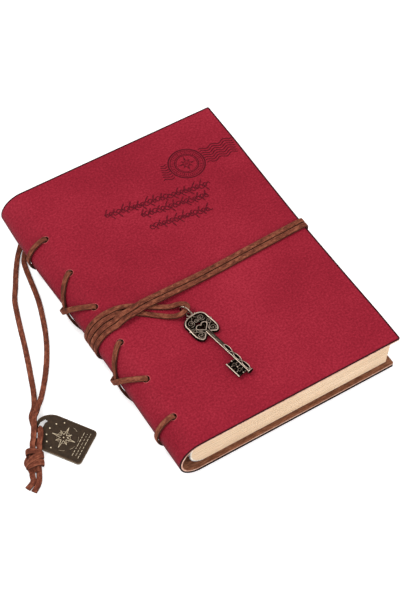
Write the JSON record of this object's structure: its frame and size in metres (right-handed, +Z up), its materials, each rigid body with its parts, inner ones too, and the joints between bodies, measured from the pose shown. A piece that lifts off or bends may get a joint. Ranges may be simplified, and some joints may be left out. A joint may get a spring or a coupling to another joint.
{
  "type": "laced diary",
  "caption": "Laced leather diary with a rounded spine, a doubled wrap cord, a key charm and a tag charm, whose covers open with the two halves of its text block.",
  "frame": {"origin": "centre of the footprint of the closed diary, on the surface that it lies on, measured without the tag, its cord and its knot", "axes": "+X from the spine to the fore-edge, +Y from the tail to the head, +Z up out of the front cover"},
  "size_m": [0.2019, 0.185, 0.0321],
  "materials": {
    "skin": "crimson leather with a fine grain",
    "lining": "brown napped inner face",
    "cord": "flat reddish-brown suede",
    "paper": "stacked cream leaves",
    "jacket": "clear flexible sheet",
    "bronze": "antiqued bronze with bright raised edges"
  },
  "bodies": {
    "back_cover": {"back_cover": "skin", "back_lining": "lining", "wrap_under_a": "cord", "wrap_under_b": "cord", "tag_exit_a": "cord", "tag_exit_b": "cord", "tag_cord_a": "cord", "tag_cord_b": "cord", "tag_cord_hitch": "cord", "tag_knot": "cord", "tag_tail_a": "cord", "tag_tail_b": "cord"},
    "spine": {"spine_leather": "skin", "spine_lining": "lining", "jacket_spine": "jacket", "lace_outer_1": "cord", "lace_outer_2": "cord", "lace_outer_3": "cord", "lace_outer_4": "cord", "lace_outer_5": "cord", "lace_outer_6": "cord", "lace_inner_front_1": "cord", "lace_inner_front_2": "cord", "lace_inner_front_3": "cord", "lace_inner_back_1": "cord", "lace_inner_back_2": "cord", "lace_inner_head": "cord", "lace_inner_return": "cord", "wrap_spine_a": "cord", "wrap_spine_b": "cord", "wrap_start_a": "cord", "wrap_start_b": "cord", "wrap_stopper_knot": "cord"},
    "front_cover": {"front_cover": "skin", "front_lining": "lining", "wrap_front_a": "cord", "wrap_front_b": "cord", "wrap_edge_a": "cord", "wrap_edge_b": "cord", "wrap_key_loop": "cord", "key_ring": "bronze"},
    "front_block": {"front_pages": "paper", "jacket_front": "jacket"},
    "back_block": {"back_pages": "paper", "jacket_back": "jacket"},
    "key": {"key_charm": "bronze"},
    "tag": {"tag_charm": "bronze"}
  },
  "joints": [
    {"name": "spine_hinge", "type": "hinge", "parent": "back_cover", "child": "spine", "pos_m": [-0.06025, 0, 0.0024], "axis": [0, -1, 0], "range_deg": [0, 80], "deforming": ["spine_leather", "spine_lining", "jacket_spine", "lace_outer_1", "lace_outer_2", "lace_outer_3", "lace_outer_4", "lace_outer_5", "lace_outer_6", "lace_inner_front_1", "lace_inner_front_2", "lace_inner_front_3", "lace_inner_back_1", "lace_inner_back_2", "lace_inner_head", "lace_inner_return", "wrap_spine_a", "wrap_spine_b", "wrap_start_a", "wrap_start_b", "wrap_stopper_knot"]},
    {"name": "front_hinge", "type": "hinge", "parent": "spine", "child": "front_cover", "pos_m": [-0.06025, 0, 0.0245], "axis": [0, -1, 0], "range_deg": [0, 80]},
    {"name": "front_block_slide", "type": "slide", "parent": "front_cover", "child": "front_block", "axis": [-1, 0, 0], "range_m": [0, 0.0118]},
    {"name": "back_block_slide", "type": "slide", "parent": "back_cover", "child": "back_block", "axis": [-1, 0, 0], "range_m": [0, 0.0118]},
    {"name": "key_swing", "type": "hinge", "parent": "front_cover", "child": "key", "pos_m": [-0.01777, -0.02524, 0.0266], "axis": [0, 0, 1], "range_deg": [-10, 25]},
    {"name": "tag_swing", "type": "hinge", "parent": "back_cover", "child": "tag", "pos_m": [-0.11152, -0.0314, 0.0024], "axis": [0, 0, 1], "range_deg": [-10, 5]}
  ],
  "couplings": [
    {"joint": "front_hinge", "follows": "spine_hinge", "ratio": 1},
    {"joint": "front_block_slide", "follows": "spine_hinge", "m_per_rad": 0.00845},
    {"joint": "back_block_slide", "follows": "spine_hinge", "m_per_rad": 0.00845}
  ]
}
